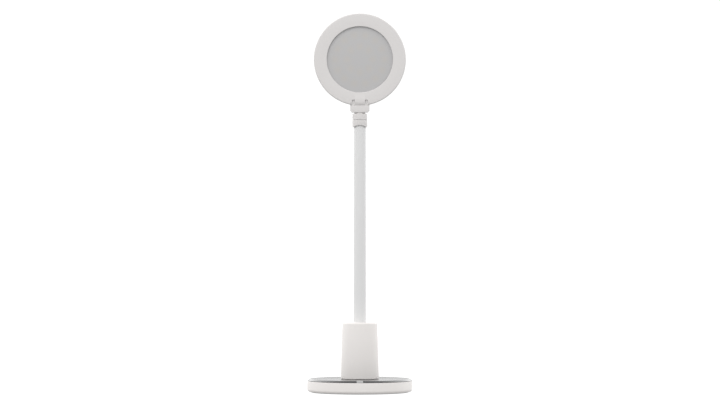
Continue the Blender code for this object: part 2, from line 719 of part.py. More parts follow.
def tilt_hardware():
    """The pin that the head's two halves clamp, and the washers that hold the head by friction."""
    centre = Vector((0, 0, PIN_Z))
    pin = [
        (0, PIN_HALF_LENGTH),
        (PIN_RADIUS - 0.3 * MM, PIN_HALF_LENGTH),
        (PIN_RADIUS, PIN_HALF_LENGTH - 0.3 * MM),
        (PIN_RADIUS, -PIN_HALF_LENGTH + 0.3 * MM),
        (PIN_RADIUS - 0.3 * MM, -PIN_HALF_LENGTH),
        (0, -PIN_HALF_LENGTH),
    ]
    turned("tilt_pin", pin, "head", "steel", steps=12, to_axis=True, place=centre, turn=SIDE)
    bore = PIN_RADIUS + GAP
    inner = SLOT_INNER + GAP
    outer = inner + WASHER_THICKNESS
    washer = [(WASHER_RADIUS, outer), (WASHER_RADIUS, inner), (bore, inner), (bore, outer)]
    turned("friction_washer_right", washer, "swivel", "nylon", steps=16, place=centre, turn=SIDE)
    mirrored = [(r, -h) for r, h in reversed(washer)]
    turned("friction_washer_left", mirrored, "swivel", "nylon", steps=16, place=centre, turn=SIDE)


# ---------------------------------------------------------------- head


def head_centre():
    return Vector((0, 0, HEAD_Z))


def head_outline(name):
    """A solid that fills the head, just inside its outer surface."""
    radius = HEAD_RADIUS - 0.05 * MM
    back = -HEAD_FRONT
    outline = [
        (0, HEAD_FRONT),
        (radius - BEZEL_CORNER, HEAD_FRONT),
        (radius, HEAD_FRONT - BEZEL_CORNER),
        (radius, back + 3.2 * MM),
        (radius - 0.7 * MM, back + 1.6 * MM),
        (radius - 2.6 * MM, back + 0.55 * MM),
        (radius - 6.6 * MM, back + 0.12 * MM),
        (0, back),
    ]
    return turned(name, outline, "head", None, 48, True, head_centre(), FRONT)


def pocket_block(name, front, back):
    """Solid material round the tilt joint, between two heights along the head's axis."""
    wide = POCKET_HALF_WIDTH + POCKET_WALL
    walls = block(name, (-wide, -front, FORK_BOTTOM), (wide, -back, POCKET_TOP), "head")
    boolean(walls, head_outline(f"{name}_outline"), "INTERSECT")
    return walls


def clear_under_pin(obj):
    """Cuts away what is under the pin between the pocket's walls, where the fork's foot swings."""
    low = (-POCKET_HALF_WIDTH, -2 * HEAD_FRONT, FORK_BOTTOM - MM)
    high = (POCKET_HALF_WIDTH, 2 * HEAD_FRONT, PIN_Z)
    cut(obj, block(f"{obj.name}_clear", low, high, "head"))


def slot_outline():
    """A lug's room in the head's lower end, in (y, z): straight out behind, and sloping down in front."""
    radius, reach = LUG_RADIUS + GAP, 2 * HEAD_FRONT
    slope = math.radians(SLOT_FORWARD)
    fall = (reach - radius * math.cos(slope)) / math.tan(slope)
    return [
        (-reach, FORK_BOTTOM - 4 * MM),
        (reach, FORK_BOTTOM - 4 * MM),
        (reach, PIN_Z + radius),
        *arc((0, PIN_Z), radius, 90, 180 - SLOT_FORWARD, 6),
        (-reach, PIN_Z + radius * math.sin(slope) - fall),
    ]


def knuckle(obj, front, back, top):
    """Joins one half of the knuckle, between y = front and y = back, and cuts its slots and pin bore."""
    pin = Vector((0, 0, PIN_Z))
    wide = POCKET_HALF_WIDTH + 0.3 * MM
    for name, radius, half in (("barrel", BARREL_RADIUS, wide), ("middle", BARREL_MIDDLE, SLOT_INNER)):
        barrel = cylinder(
            f"{obj.name}_{name}", radius, -half, half, "head", steps=40, place=pin, turn=SIDE
        )
        half_space = block(f"{obj.name}_{name}_half", (-2 * wide, front, 0), (2 * wide, back, PIN_Z), "head")
        boolean(barrel, half_space, "INTERSECT")
        join(obj, barrel)
    web_front, web_back = max(front, -HEAD_FRONT + 0.2 * MM), min(back, HEAD_FRONT)
    join(obj, block(f"{obj.name}_web", (-wide, web_front, PIN_Z - MM), (wide, web_back, top), "head"))
    for side, (low, high) in {"left": (-SLOT_OUTER, -SLOT_INNER), "right": (SLOT_INNER, SLOT_OUTER)}.items():
        cut(obj, across(f"{obj.name}_slot_{side}", slot_outline(), low, high, "head"))
    length = PIN_HALF_LENGTH + GAP
    bore = cylinder(
        f"{obj.name}_pin_bore", PIN_RADIUS + GAP, -length, length, "head", steps=12, place=pin, turn=SIDE
    )
    cut(obj, bore)


def screw_places():
    """Where the head screws go, in the head's own frame."""
    return around(HEAD_SCREW_CIRCLE, 4, 45)


def in_head(place):
    """A point of the head's own frame, whose Z runs towards the front, as a world place."""
    return head_centre() + Vector((place.x, -place.z, place.y))


def head_bezel():
    face_back = HEAD_FRONT - HEAD_WALL
    well = WINDOW_RADIUS + HEAD_WALL
    corner = (HEAD_RADIUS - BEZEL_CORNER, HEAD_FRONT - BEZEL_CORNER)
    profile = [
        (WINDOW_RADIUS + WINDOW_CHAMFER, HEAD_FRONT),
        *arc(corner, BEZEL_CORNER, 90, 0, 3),
        (HEAD_RADIUS, BEZEL_BACK),
        (HEAD_RADIUS - HEAD_WALL, BEZEL_BACK),
        (HEAD_RADIUS - HEAD_WALL, face_back),
        (well, face_back),
        (well, DIFFUSER_FRONT + GAP),
        (WINDOW_RADIUS, DIFFUSER_FRONT + GAP),
        (WINDOW_RADIUS, HEAD_FRONT - WINDOW_CHAMFER),
    ]
    bezel = turned("head_bezel", profile, "head", "white_shell", 48, place=head_centre(), turn=FRONT)
    join(bezel, pocket_block("bezel_pocket", HEAD_FRONT - 0.5 * MM, BEZEL_BACK))
    clear_under_pin(bezel)
    pad = [
        (-HEAD_FRONT + 2 * MM, PIN_Z - 0.5 * MM),
        (-BARREL_MIDDLE, PIN_Z),
        (-BARREL_MIDDLE, PAD_TOP - 1.8 * MM),
        (-HEAD_FRONT - 0.02 * MM, PAD_TOP),
        (-HEAD_FRONT + 2 * MM, PAD_TOP),
    ]
    join(bezel, across("bezel_pad", pad, -SLOT_INNER, SLOT_INNER, "head"))
    knuckle(bezel, -2 * HEAD_FRONT, -BEZEL_BACK, POCKET_TOP)
    for i, place in enumerate(screw_places()):
        place = in_head(place)
        low = -HEAD_FRONT + 3.4 * MM
        boss = cylinder(f"bezel_boss_{i}", 2.4 * MM, low, face_back + 0.6 * MM, "head", None, 8, place, FRONT)
        join(bezel, boss)
        pilot = cylinder(f"bezel_pilot_{i}", 1.2 * MM, -8 * MM, 3.5 * MM, "head", None, 6, place, FRONT)
        cut(bezel, pilot)


def diffuser():
    low = DIFFUSER_FRONT - DIFFUSER_THICKNESS
    profile = [
        (0, DIFFUSER_FRONT),
        (DIFFUSER_RADIUS - 0.3 * MM, DIFFUSER_FRONT),
        (DIFFUSER_RADIUS, DIFFUSER_FRONT - 0.3 * MM),
        (DIFFUSER_RADIUS, low),
        (0, low),
    ]
    turned("diffuser", profile, "head", "opal", 36, True, head_centre(), FRONT)


def reflector():
    """The white tray that holds the diffuser's edge and slopes in to the LED board."""
    seat = DIFFUSER_FRONT - DIFFUSER_THICKNESS - GAP
    inner = DIFFUSER_RADIUS + GAP
    foot = LED_BOARD_FRONT + GAP
    rim = inner + 1.3 * MM
    top = DIFFUSER_FRONT - 0.1 * MM
    profile = [
        (rim, top),
        (rim, foot),
        (inner - 5.5 * MM, foot),
        (inner - 5.2 * MM, foot + 0.7 * MM),
        (inner - 1.6 * MM, seat),
        (inner, seat),
        (inner, top),
    ]
    tray = turned("reflector", profile, "head", "white_inner", 32, place=head_centre(), turn=FRONT)
    wide = POCKET_HALF_WIDTH + POCKET_WALL + GAP
    top = POCKET_TOP + GAP
    cut(tray, block("reflector_cut", (-wide, -2 * HEAD_FRONT, FORK_BOTTOM), (wide, 2 * HEAD_FRONT, top), "head"))


def led_board():
    """The LED board with two rings of chips standing on it."""
    low = LED_BOARD_FRONT - LED_BOARD_THICKNESS
    board = cylinder(
        "led_board", LED_BOARD_RADIUS, low, LED_BOARD_FRONT, "head", "led_aluminium", 28, head_centre(), FRONT
    )
    mesh = bpy.data.meshes.new("led_chips")
    shape = bmesh.new()
    for circle, count in ((14 * MM, 8), (27 * MM, 14)):
        for place in around(circle, count):
            place.z = LED_BOARD_FRONT
            size = Matrix.Diagonal((3.2 * MM, 3.2 * MM, 1.4 * MM, 1))
            bmesh.ops.create_cube(shape, size=1.0, matrix=Matrix.Translation(place) @ size)
    shape.to_mesh(mesh)
    shape.free()
    join(board, add("led_chips", mesh, "head", head_centre(), FRONT))


def head_rear_cover():
    """The domed rear cover, with the rear half of the knuckle moulded on it."""
    rim = BEZEL_BACK - GAP
    inner = HEAD_RADIUS - HEAD_WALL
    back = -HEAD_FRONT
    profile = [
        (0, back + HEAD_WALL),
        (40 * MM, back + HEAD_WALL + 0.15 * MM),
        (46 * MM, back + HEAD_WALL + 0.6 * MM),
        (inner, back + HEAD_WALL + 2.2 * MM),
        (inner, rim),
        (HEAD_RADIUS, rim),
        (HEAD_RADIUS, back + 3.2 * MM),
        (HEAD_RADIUS - 0.7 * MM, back + 1.6 * MM),
        (HEAD_RADIUS - 2.6 * MM, back + 0.55 * MM),
        (HEAD_RADIUS - 6.6 * MM, back + 0.12 * MM),
        (36 * MM, back),
        (0, back),
    ]
    cover = turned("head_rear_cover", profile, "head", "white_shell", 48, True, head_centre(), FRONT)
    join(cover, pocket_block("cover_pocket", rim, back + 0.9 * MM))
    clear_under_pin(cover)
    knuckle(cover, -rim, 2 * HEAD_FRONT, POCKET_TOP)
    for i, place in enumerate(screw_places()):
        place = in_head(place)
        cut(
            cover,
            cylinder(f"cover_screw_hole_{i}", 1.2 * MM, -9 * MM, -3 * MM, "head", None, 8, place, FRONT),
            cylinder(f"cover_screw_sink_{i}", 2.5 * MM, -9 * MM, back + MM, "head", None, 10, place, FRONT),
        )


def head_screws():
    for i, place in enumerate(screw_places()):
        place.z = -HEAD_FRONT + MM - GAP
        screw(f"head_screw_{i + 1}", "head", in_head(place), 2.1 * MM, 0.6 * MM, 0.9 * MM, 8 * MM, FRONT)


# ---------------------------------------------------------------- assembly


def make_collections():
    global parts, cutters
    for obj in list(bpy.data.objects):
        bpy.data.objects.remove(obj)
    parts = bpy.data.collections.new("fill_light")
    cutters = bpy.data.collections.new("cutters")
    bpy.context.scene.collection.children.link(parts)
    bpy.context.scene.collection.children.link(cutters)


def make_pivots():
    """One empty per body, each on the axis of the joint that carries it."""
    pivot("base", ORIGIN)
    parent = "base"
    for k in range(1, HINGE_COUNT):
        pivot(f"link_{k}", (0, 0, HINGE_Z[k - 1]), parent)
        parent = f"link_{k}"
    pivot("tip", (0, 0, HINGE_Z[-1]), parent)
    pivot("swivel", (0, 0, COLLAR_SEAM), "tip")
    pivot("head", (0, 0, PIN_Z), "swivel")


def main():
    make_collections()
    make_pivots()
    foot_ring()
    base_bottom_cover()
    base_screws()
    base_shell()
    ballast_plate()
    top_plate()
    touch_key()
    touch_electrode()
    control_board()
    usb_socket()
    battery_pouch()
    tower_shell()
    tower_screws()
    root_hardware()
    neck_core()
    neck_sleeves()
    collar()
    swivel_hardware()
    tilt_fork()
    tilt_hardware()
    head_bezel()
    diffuser()
    reflector()
    led_board()
    head_rear_cover()
    head_screws()


main()
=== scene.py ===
"""The looks of the round LED fill light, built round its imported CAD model.

Units are metres. Every piece is modelled where it stands, in the frame's own axes: +Z up, front facing -Y.
"""

import json
import math

import bmesh
import bpy
from mathutils import Matrix, Vector


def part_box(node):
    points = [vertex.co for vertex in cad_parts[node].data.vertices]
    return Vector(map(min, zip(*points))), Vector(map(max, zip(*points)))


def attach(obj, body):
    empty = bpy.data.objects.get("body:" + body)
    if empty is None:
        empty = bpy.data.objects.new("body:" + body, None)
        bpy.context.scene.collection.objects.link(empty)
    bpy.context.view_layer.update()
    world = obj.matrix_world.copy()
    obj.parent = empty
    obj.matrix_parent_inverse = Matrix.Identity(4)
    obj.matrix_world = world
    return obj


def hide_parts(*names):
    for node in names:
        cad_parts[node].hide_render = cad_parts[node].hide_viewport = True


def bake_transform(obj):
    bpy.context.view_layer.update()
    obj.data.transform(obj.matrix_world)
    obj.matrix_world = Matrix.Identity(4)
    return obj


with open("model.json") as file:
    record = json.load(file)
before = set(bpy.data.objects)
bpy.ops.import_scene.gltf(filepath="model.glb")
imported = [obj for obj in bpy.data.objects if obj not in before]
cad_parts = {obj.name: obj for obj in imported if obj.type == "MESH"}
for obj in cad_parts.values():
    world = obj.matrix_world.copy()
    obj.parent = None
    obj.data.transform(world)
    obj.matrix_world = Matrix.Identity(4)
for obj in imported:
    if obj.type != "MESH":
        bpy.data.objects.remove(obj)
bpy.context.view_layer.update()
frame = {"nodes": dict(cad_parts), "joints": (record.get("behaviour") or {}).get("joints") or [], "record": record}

MM = 0.001
ORIGIN = Vector((0, 0, 0))
UP = Matrix.Identity(4)
FRONT = Matrix.Rotation(math.radians(90), 4, "X")  # an axis pointing up turned to point at -Y
SIDE = Matrix.Rotation(math.radians(90), 4, "Y")  # an axis pointing up turned to point at +X
ACROSS = Matrix.Rotation(math.radians(90), 4, "Z") @ FRONT  # an outline in (y, z), given width along X

# Places read from the frame
BASE_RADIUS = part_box("base_shell")[1].x
RIM_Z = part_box("base_shell")[1].z
PLATE_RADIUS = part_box("top_plate")[1].x
PLATE_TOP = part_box("top_plate")[1].z
PLATE_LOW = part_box("top_plate")[0].z
KEY_LOW, KEY_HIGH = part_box("touch_key")
COVER_LOW, COVER_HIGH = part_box("base_bottom_cover")
FOOT_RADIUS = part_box("foot_ring")[1].x
FOOT_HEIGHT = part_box("foot_ring")[1].z
TOWER_LOW, TOWER_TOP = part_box("tower_shell")[0].z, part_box("tower_shell")[1].z
TOWER_RADIUS_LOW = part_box("tower_shell")[1].x
STEM_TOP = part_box("collar_lower")[0].z
SLEEVE_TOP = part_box("neck_sleeve_8")[1].z
COLLAR_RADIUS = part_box("collar_lower")[1].x
COLLAR_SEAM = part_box("collar_lower")[1].z
UPPER_COLLAR_LOW, COLLAR_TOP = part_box("collar_upper")[0].z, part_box("collar_upper")[1].z
FORK_HALF_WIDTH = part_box("tilt_fork")[1].x
FORK_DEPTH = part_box("tilt_fork")[1].y
HEAD_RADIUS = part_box("head_bezel")[1].x
HEAD_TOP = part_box("head_bezel")[1].z
HEAD_Z = HEAD_TOP - HEAD_RADIUS
JOINTS = {joint["name"]: joint for joint in frame["joints"]}
PIN_Z = JOINTS["head_tilt"]["pos_m"][2]
HINGES = [joint for joint in frame["joints"] if joint["name"].startswith("stem_")]

# Sizes that the CAD parts share and a box can't give
GAP = 0.3 * MM
BASE_WALL = 2.45 * MM
BASE_CORNER = 3.0 * MM
DECK_BOTTOM, DECK_TOP = 9.7 * MM, 11.4 * MM
DECK_HOLE = 7.0 * MM
SPIGOT_RADIUS = 54.6 * MM
BEVEL_WIDTH = 2.65 * MM
PLATE_EDGE = 0.25 * MM
BASE_SCREW_CIRCLE = 43.0 * MM
TOWER_RADIUS_HIGH = 19.2 * MM
TOWER_WALL = 2.2 * MM
TOWER_CORNER = 1.8 * MM
STUD_HOLE = 4.1 * MM
SLEEVE_RADIUS_LOW, SLEEVE_RADIUS_HIGH = 6.95 * MM, 6.5 * MM
SLEEVE_INNER = 5.45 * MM
COLLAR_POCKET = 6.8 * MM
COLLAR_ARCH = 2.7 * MM
SPINDLE_RADIUS = 4.0 * MM
FORK_LOW = 307.7 * MM
FORK_CHAMFER = 2.0 * MM
FORK_LIP = 315.4 * MM
FORK_BACK = 312.3 * MM
NECK_RADIUS = 6.05 * MM
LUG_RADIUS = 5.8 * MM
BARREL_RADIUS = 7.0 * MM
BARREL_MIDDLE = 7.35 * MM
SLOT_INNER, SLOT_OUTER = 5.7 * MM, 8.5 * MM
SLOT_FORWARD = 45  # degrees that the slots let the head nod forwards
WASHER_RADIUS = 4.2 * MM
PIN_RADIUS = 1.5 * MM
PIN_HALF_LENGTH = 9.6 * MM
PAD_TOP = PIN_Z + 5.3 * MM
POCKET_WALL = 1.65 * MM
POCKET_TOP = PIN_Z + 7.5 * MM
SNUG = 0.12 * MM  # the gap between pieces that nearly touch
HEAD_FRONT = 7.0 * MM
HEAD_WALL = 1.8 * MM
BEZEL_PART = -1.0 * MM  # height of the bezel's rear edge, from the head's mid plane towards the front
WINDOW_RADIUS = 36.3 * MM
DIFFUSER_FRONT = 4.6 * MM
DIFFUSER_RADIUS = 37.9 * MM
DIFFUSER_THICKNESS = 1.6 * MM
HEAD_SCREW_CIRCLE = 44.6 * MM
HEAD_BOSS_RADIUS = 2.4 * MM
HEAD_PILOT_RADIUS = 1.2 * MM
TOWER_SCREW_CIRCLE = 15.8 * MM
FOOT_WIDTH = 5.0 * MM
LED_CIRCLES = ((14.0 * MM, 8), (27.0 * MM, 14))  # radius of each circle of LED chips, and how many it has
HAIR = 0.02 * MM  # keeps the faces of joined solids out of one plane

CAMERA_DISTANCE = 4.18
CAMERA_HEIGHT = 0.2076
CAMERA_LENS = 190.0


# ---------------------------------------------------------------- camera, floor and light


def make_camera():
    data = bpy.data.cameras.new("camera")
    data.lens = CAMERA_LENS
    data.sensor_width = 36.0
    camera = bpy.data.objects.new("camera", data)
    camera.location = (0.17 * MM, -CAMERA_DISTANCE, CAMERA_HEIGHT)
    camera.rotation_euler = (math.radians(90), 0, 0)
    bpy.context.scene.collection.objects.link(camera)
    bpy.context.scene.camera = camera


def make_floor():
    """A white floor that sweeps up far behind the light, seen by the camera but lighting nothing."""
    rings = [(0, 0), (28, 0), (29.4, 0.6), (30, 2), (30, 8)]
    sides = 128
    shape = bmesh.new()
    rows = []
    for radius, height in rings:
        angles = [2 * math.pi * k / sides for k in range(sides)]
        rows.append([shape.verts.new((radius * math.cos(a), radius * math.sin(a), height)) for a in angles])
    for row, following in zip(rows, rows[1:]):
        for k in range(sides):
            shape.faces.new([row[k], row[(k + 1) % sides], following[(k + 1) % sides], following[k]])
    bmesh.ops.remove_doubles(shape, verts=shape.verts, dist=1e-4)
    mesh = bpy.data.meshes.new("floor")
    shape.to_mesh(mesh)
    shape.free()
    floor = bpy.data.objects.new("floor", mesh)
    floor.location.z = -0.02 * MM
    bpy.context.scene.collection.objects.link(floor)
    paint = bpy.data.materials.new("floor_paint")
    paint.use_nodes = True
    shader = paint.node_tree.nodes["Principled BSDF"]
    shader.inputs["Base Color"].default_value = (0.12, 0.12, 0.12, 1)
    shader.inputs["Roughness"].default_value = 0.9
    shader.inputs["Specular IOR Level"].default_value = 0.1
    shader.inputs["Emission Color"].default_value = (1, 1, 1, 1)
    shader.inputs["Emission Strength"].default_value = 0.96
    floor.visible_diffuse = False
    floor.visible_glossy = False
    mesh.materials.append(paint)


def make_world():
    """A studio lit from above: dim below the horizon, brighter at the sides and behind than in front."""
    world = bpy.data.worlds.new("studio")
    world.use_nodes = True
    bpy.context.scene.world = world
    nodes, links = world.node_tree.nodes, world.node_tree.links
    nodes.clear()
    direction = nodes.new("ShaderNodeTexCoord")
    split = nodes.new("ShaderNodeSeparateXYZ")
    links.new(direction.outputs["Generated"], split.inputs[0])
    across, depth, height = split.outputs

    def ramp(source, low, high, to_low, to_high):
        node = nodes.new("ShaderNodeMapRange")
        node.interpolation_type = "SMOOTHSTEP"
        links.new(source, node.inputs["Value"])
        values = {"From Min": low, "From Max": high, "To Min": to_low, "To Max": to_high}
        for name, value in values.items():
            node.inputs[name].default_value = value
        return node.outputs["Result"]

    def combine(operation, first, *others):
        for other in others:
            node = nodes.new("ShaderNodeMath")
            node.operation = operation
            links.new(first, node.inputs[0])
            links.new(other, node.inputs[1])
            first = node.outputs[0]
        return first

    sky = combine(
        "MULTIPLY",
        ramp(height, 0.0, 0.35, 0.0, 1.0),
        ramp(depth, -0.8, -0.1, 0.68, 1.08),
        ramp(height, 0.55, 1.0, 1.0, 0.18),
    )
    behind = combine(
        "MULTIPLY",
        ramp(depth, -0.2, 0.5, 0.0, 0.79),
        ramp(depth, 0.96, 0.995, 1.0, 0.2),
        ramp(height, -0.25, 0.0, 0.0, 1.0),
        ramp(height, 0.6, 0.9, 1.0, 0.4),
    )
    base = ramp(across, -1.0, 1.0, 0.58, 0.62)
    background = nodes.new("ShaderNodeBackground")
    background.inputs["Color"].default_value = (1, 1, 1, 1)
    output = nodes.new("ShaderNodeOutputWorld")
    links.new(combine("ADD", sky, behind, base), background.inputs["Strength"])
    links.new(background.outputs[0], output.inputs["Surface"])


def area_light(name, place, target, size, power):
    data = bpy.data.lights.new(name, "AREA")
    data.shape = "DISK"
    data.size = size
    data.energy = power
    light = bpy.data.objects.new(name, data)
    light.location = place
    light.rotation_euler = (Vector(target) - Vector(place)).to_track_quat("-Z", "Y").to_euler()
    bpy.context.scene.collection.objects.link(light)


def make_lights():
    area_light("key", (-0.7, -1.9, 2.0), (0, 0, 0.3), 1.8, 21)


# ---------------------------------------------------------------- materials


class Paint:
    """A node material being built, with short ways to add the nodes it needs."""

    def __init__(self, name, roughness, metallic=0.0):
        self.material = bpy.data.materials.new(name)
        self.material.use_nodes = True
        self.nodes = self.material.node_tree.nodes
        self.links = self.material.node_tree.links
        self.shader = self.nodes["Principled BSDF"]
        self.shader.inputs["Roughness"].default_value = roughness
        self.shader.inputs["Metallic"].default_value = metallic
        self.place = self.nodes.new("ShaderNodeTexCoord").outputs["Object"]

    def stretched(self, scale, rotation=(0, 0, 0)):
        node = self.nodes.new("ShaderNodeMapping")
        node.inputs["Scale"].default_value = scale
        node.inputs["Rotation"].default_value = rotation
        self.links.new(self.place, node.inputs["Vector"])
        return node.outputs["Vector"]

    def noise(self, scale, detail=2.0, vector=None):
        node = self.nodes.new("ShaderNodeTexNoise")
        node.inputs["Scale"].default_value = scale
        node.inputs["Detail"].default_value = detail
        self.links.new(vector or self.place, node.inputs["Vector"])
        return node.outputs["Fac"]

    def cells(self, scale):
        node = self.nodes.new("ShaderNodeTexVoronoi")
        node.inputs["Scale"].default_value = scale
        self.links.new(self.place, node.inputs["Vector"])
        return node.outputs["Distance"]

    def remap(self, source, low, high, to_low, to_high, smooth=False):
        node = self.nodes.new("ShaderNodeMapRange")
        if smooth:
            node.interpolation_type = "SMOOTHSTEP"
        self.links.new(source, node.inputs["Value"])
        values = {"From Min": low, "From Max": high, "To Min": to_low, "To Max": to_high}
        for name, value in values.items():
            node.inputs[name].default_value = value
        return node.outputs["Result"]

    def math(self, operation, a, b=0.0):
        node = self.nodes.new("ShaderNodeMath")
        node.operation = operation
        for socket, value in zip(node.inputs, (a, b)):
            if isinstance(value, (int, float)):
                socket.default_value = value
            else:
                self.links.new(value, socket)
        return node.outputs[0]

    def axes(self):
        node = self.nodes.new("ShaderNodeSeparateXYZ")
        self.links.new(self.place, node.inputs[0])
        return node.outputs

    def blend(self, share, first, second):
        """A colour from the first to the second as the share goes from 0 to 1."""
        node = self.nodes.new("ShaderNodeMix")
        node.data_type = "RGBA"
        self.links.new(share, node.inputs["Factor"])
        for name, colour in (("A", first), ("B", second)):
            socket = next(s for s in node.inputs if s.name == name and s.type == "RGBA")
            if isinstance(colour, tuple):
                socket.default_value = (*colour, 1)
            else:
                self.links.new(colour, socket)
        return next(s for s in node.outputs if s.type == "RGBA")

    def colour(self, source):
        self.links.new(source, self.shader.inputs["Base Color"])

    def roughness(self, source):
        self.links.new(source, self.shader.inputs["Roughness"])

    def bump(self, height, depth, strength=1.0):
        node = self.nodes.new("ShaderNodeBump")
        node.inputs["Distance"].default_value = depth
        node.inputs["Strength"].default_value = strength
        self.links.new(height, node.inputs["Height"])
        self.links.new(node.outputs[0], self.shader.inputs["Normal"])

    def set(self, **values):
        for name, value in values.items():
            self.shader.inputs[name.replace("_", " ")].default_value = value


def moulded_white(name, dark, light):
    """Satin moulded plastic with a fine spark-eroded grain and the faintest flow clouding."""
    paint = Paint(name, 0.42)
    paint.colour(paint.blend(paint.noise(28, 3), dark, light))
    paint.roughness(paint.remap(paint.noise(900, 3), 0.3, 0.7, 0.36, 0.5))
    paint.bump(paint.noise(5200, 2), 0.012 * MM, 0.5)
    return paint.material


def sleeve_silicone():
    """Matt neutral silicone, with a little dust that lightens it and a softly uneven skin."""
    paint = Paint("sleeve_silicone", 0.6)
    dust = paint.remap(paint.noise(1900, 4), 0.62, 0.72, 0.0, 1.0, True)
    tone = paint.blend(paint.noise(60, 2), (0.65, 0.65, 0.65), (0.675, 0.675, 0.675))
    paint.colour(paint.blend(dust, tone, (0.695, 0.695, 0.69)))
    paint.roughness(paint.remap(dust, 0, 1, 0.5, 0.72))
    paint.bump(paint.noise(2600, 3), 0.02 * MM, 0.5)
    paint.set(Sheen_Weight=0.5, Sheen_Roughness=0.3)
    return paint.material


def dark_plate():
    """Polished dark plastic with hairline wipe marks and the haze of a few touches."""
    paint = Paint("dark_plate", 0.16)
    wipe = paint.noise(900, 3, paint.stretched((1, 0.06, 1), (0, 0, 0.5)))
    haze = paint.noise(70, 4)
    streaks = paint.remap(wipe, 0.5, 0.75, 0.12, 0.2)
    touches = paint.remap(haze, 0.45, 0.75, 0.0, 0.1)
    paint.roughness(paint.math("ADD", streaks, touches))
    paint.colour(paint.blend(haze, (0.02, 0.02, 0.021), (0.032, 0.032, 0.033)))
    paint.set(IOR=1.7)
    paint.bump(wipe, 0.001 * MM, 0.4)
    return paint.material


def key_lens():
    paint = Paint("key_lens", 0.3)
    paint.colour(paint.blend(paint.noise(600, 3), (0.33, 0.33, 0.33), (0.37, 0.37, 0.365)))
    paint.roughness(paint.remap(paint.noise(2500, 2), 0.3, 0.7, 0.25, 0.38))
    return paint.material


def opal():
    """Opal acrylic, with a soft warm patch in front of each LED chip behind it."""
    paint = Paint("opal", 0.34)
    axes = paint.axes()
    height = paint.math("SUBTRACT", axes["Z"], HEAD_Z)
    warm = None
    squares = paint.math("ADD", paint.math("POWER", axes["X"], 2), paint.math("POWER", height, 2))
    radius = paint.math("SQRT", squares)
    angle = paint.math("ARCTAN2", height, axes["X"])
    for circle, count in LED_CIRCLES:
        ring = paint.math("ABSOLUTE", paint.math("SUBTRACT", radius, circle))
        near = paint.remap(ring, 0.0, 7 * MM, 1.0, 0.0, True)
        wave = paint.math("COSINE", paint.math("MULTIPLY", angle, count))
        lobes = paint.remap(wave, -1.0, 1.0, 0.25, 1.0, True)
        patch = paint.math("MULTIPLY", near, lobes)
        warm = patch if warm is None else paint.math("MAXIMUM", warm, patch)
    paint.colour(paint.blend(warm, (0.462, 0.458, 0.46), (0.474, 0.458, 0.442)))
    paint.roughness(paint.remap(paint.noise(1400, 3), 0.3, 0.7, 0.3, 0.4))
    paint.bump(paint.noise(3800, 2), 0.006 * MM, 0.4)
    return paint.material


def steel():
    """Zinc-plated steel with turning marks and patchy passivation."""
    paint = Paint("steel", 0.34, 1.0)
    patches = paint.noise(160, 4)
    paint.colour(paint.blend(patches, (0.5, 0.5, 0.52), (0.62, 0.61, 0.58)))
    marks = paint.noise(3000, 3, paint.stretched((0.15, 0.15, 1)))
    paint.roughness(paint.remap(marks, 0.3, 0.7, 0.26, 0.46))
    paint.bump(marks, 0.006 * MM, 0.5)
    return paint.material


def brass():
    paint = Paint("brass", 0.3, 1.0)
    paint.colour(paint.blend(paint.noise(220, 4), (0.62, 0.45, 0.2), (0.76, 0.6, 0.31)))
    marks = paint.noise(2600, 3, paint.stretched((0.2, 0.2, 1)))
    paint.roughness(paint.remap(marks, 0.3, 0.7, 0.22, 0.42))
    paint.bump(marks, 0.008 * MM, 0.5)
    return paint.material


def fibre():
    paint = Paint("fibre", 0.75)
    flecks = paint.noise(2400, 4)
    paint.colour(paint.blend(flecks, (0.035, 0.035, 0.038), (0.1, 0.1, 0.1)))
    paint.bump(flecks, 0.03 * MM, 0.7)
    return paint.material


def circuit_board():
    """Green solder mask over copper tracks, which show as a paler raised maze."""
    paint = Paint("circuit_board", 0.4)
    tracks = paint.remap(paint.cells(420), 0.28, 0.34, 0.0, 1.0, True)
    paint.colour(paint.blend(tracks, (0.012, 0.09, 0.035), (0.03, 0.2, 0.08)))
    paint.roughness(paint.remap(paint.noise(700), 0.3, 0.7, 0.32, 0.48))
    paint.bump(tracks, 0.03 * MM, 0.6)
    return paint.material


def led_aluminium():
    """White solder mask on aluminium; the chips' faces stand proud of it and are phosphor yellow."""
    paint = Paint("led_aluminium", 0.42)
    raised = paint.remap(paint.axes()["Y"], 1.5 * MM, 1.35 * MM, 0.0, 1.0)
    paint.colour(paint.blend(raised, (0.78, 0.78, 0.76), (0.82, 0.62, 0.14)))
    paint.roughness(paint.remap(paint.noise(900), 0.3, 0.7, 0.35, 0.5))
    return paint.material


def battery_foil():
    """Pouch foil, creased in flat facets."""
    paint = Paint("battery_foil", 0.36, 0.85)
    creases = paint.cells(150)
    paint.colour(paint.blend(paint.noise(90, 3), (0.52, 0.53, 0.55), (0.68, 0.69, 0.7)))
    paint.roughness(paint.remap(creases, 0.0, 0.6, 0.28, 0.45))
    paint.bump(creases, 0.12 * MM, 0.6)
    return paint.material


def copper():
    paint = Paint("copper", 0.34, 1.0)
    paint.colour(paint.blend(paint.noise(300, 4), (0.6, 0.3, 0.18), (0.78, 0.45, 0.3)))
    paint.roughness(paint.remap(paint.noise(1600, 3), 0.3, 0.7, 0.25, 0.45))
    return paint.material


def white_inner():
    paint = Paint("white_inner", 0.55)
    paint.colour(paint.blend(paint.noise(120, 3), (0.8, 0.8, 0.79), (0.86, 0.86, 0.85)))
    paint.bump(paint.noise(3000), 0.01 * MM, 0.5)
    return paint.material


def nylon():
    paint = Paint("nylon", 0.5)
    paint.colour(paint.blend(paint.noise(260, 3), (0.7, 0.69, 0.66), (0.78, 0.77, 0.74)))
    paint.bump(paint.noise(2400), 0.01 * MM, 0.5)
    return paint.material


